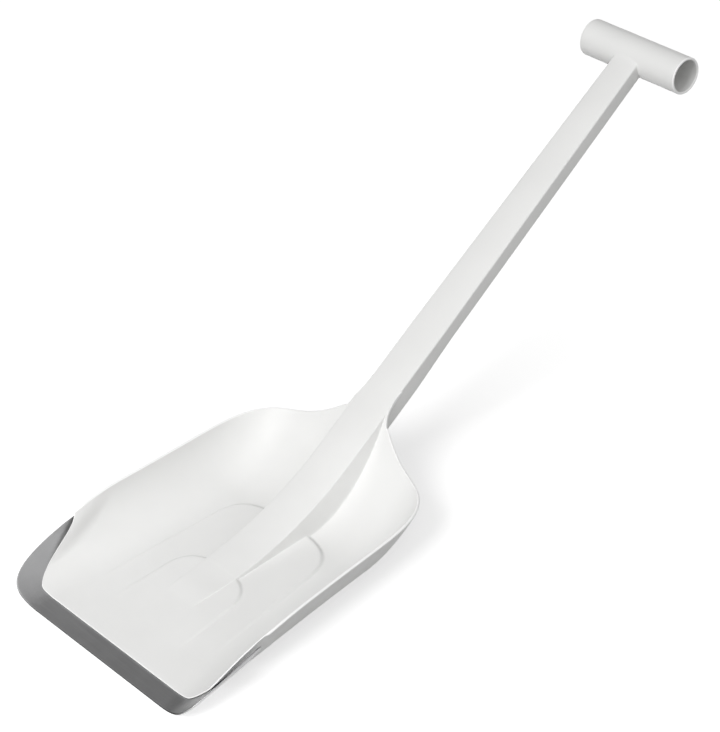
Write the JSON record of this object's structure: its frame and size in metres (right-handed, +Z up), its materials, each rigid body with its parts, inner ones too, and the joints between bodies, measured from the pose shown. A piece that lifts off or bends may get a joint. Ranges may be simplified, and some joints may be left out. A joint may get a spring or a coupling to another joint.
{
  "type": "snow shovel",
  "caption": "Compact rigid snow shovel: a moulded scoop with a central spine and raised floor platforms, a channel-section shaft, an open tubular T-grip and a steel cutting edge.",
  "frame": {"origin": "centre of the bounding box's bottom face, on the plane that the blade rests on", "axes": "+X to the right, +Y from the steel front edge towards the grip, +Z up"},
  "size_m": [0.2394, 0.6604, 0.2643],
  "materials": {
    "white_plastic": "satin moulded polypropylene",
    "edge_steel": "brushed sheet steel"
  },
  "bodies": {
    "root": {"scoop": "white_plastic", "spine_ribs": "white_plastic", "shaft": "white_plastic", "shaft_ribs": "white_plastic", "grip": "white_plastic", "steel_edge": "edge_steel", "edge_stakes": "white_plastic"}
  },
  "joints": []
}
